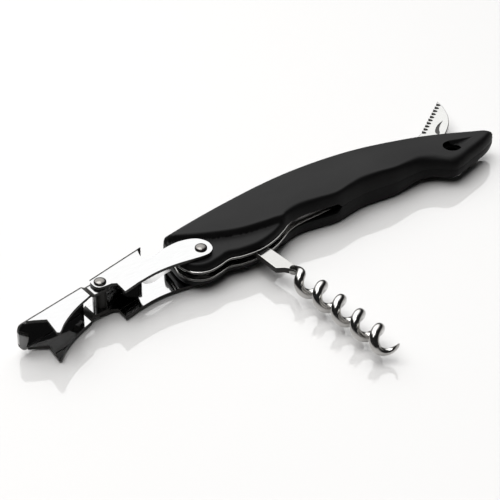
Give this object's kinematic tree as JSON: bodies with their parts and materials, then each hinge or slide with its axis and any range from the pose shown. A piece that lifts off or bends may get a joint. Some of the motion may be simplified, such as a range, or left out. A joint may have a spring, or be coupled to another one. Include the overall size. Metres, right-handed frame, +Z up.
{
  "type": "lever corkscrew",
  "caption": "Folding waiter's corkscrew with a curved finger-grip handle, double-hinged channel lever, folding coiled worm and serrated foil blade.",
  "frame": {"origin": "middle of the handle's resting flat side, on the surface it lies on", "axes": "+X along the handle from the lever pivot to the tail, +Y toward the handle's back edge, -Y the way the open worm points, +Z up through the handle's thickness"},
  "size_m": [0.1866, 0.0962, 0.0126],
  "materials": {
    "shell": "soft-touch satin",
    "liner": "sheared edge, satin",
    "inner": "plain",
    "rivet": "worn nickel",
    "lever": "polished",
    "worm": "polished dark nickel",
    "blade": "ground"
  },
  "bodies": {
    "handle": {"upper_shell": "shell", "lower_shell": "shell", "upper_liner": "liner", "lower_liner": "liner", "front_spacer": "inner", "back_spring": "inner", "spring_pin": "inner", "liner_rivets": "inner", "lever_rivet": "rivet", "lever_washers": "rivet", "lever_bush": "inner", "worm_pin": "inner", "blade_pin": "inner", "blade_washers": "inner"},
    "first_lever": {"first_lever": "lever", "hinge_rivet": "rivet"},
    "second_lever": {"second_lever": "lever", "hinge_bush": "rivet"},
    "worm": {"worm_shank": "lever", "worm_screw": "worm"},
    "blade": {"foil_blade": "blade"}
  },
  "joints": [
    {"name": "lever_pivot", "type": "hinge", "parent": "handle", "child": "first_lever", "pos_m": [-0.0462, -0.009, 0.0061], "axis": [0, 0, 1], "range_deg": [-12, 65]},
    {"name": "lever_hinge", "type": "hinge", "parent": "first_lever", "child": "second_lever", "pos_m": [-0.0808, -0.005, 0.0061], "axis": [0, 0, 1], "range_deg": [-8, 75]},
    {"name": "worm_pivot", "type": "hinge", "parent": "handle", "child": "worm", "pos_m": [-0.028, -0.0115, 0.0061], "axis": [0, 0, 1], "range_deg": [0, 78]},
    {"name": "blade_pivot", "type": "hinge", "parent": "handle", "child": "blade", "pos_m": [0.048, -0.0012, 0.0061], "axis": [0, 0, 1], "range_deg": [0, 144]}
  ]
}
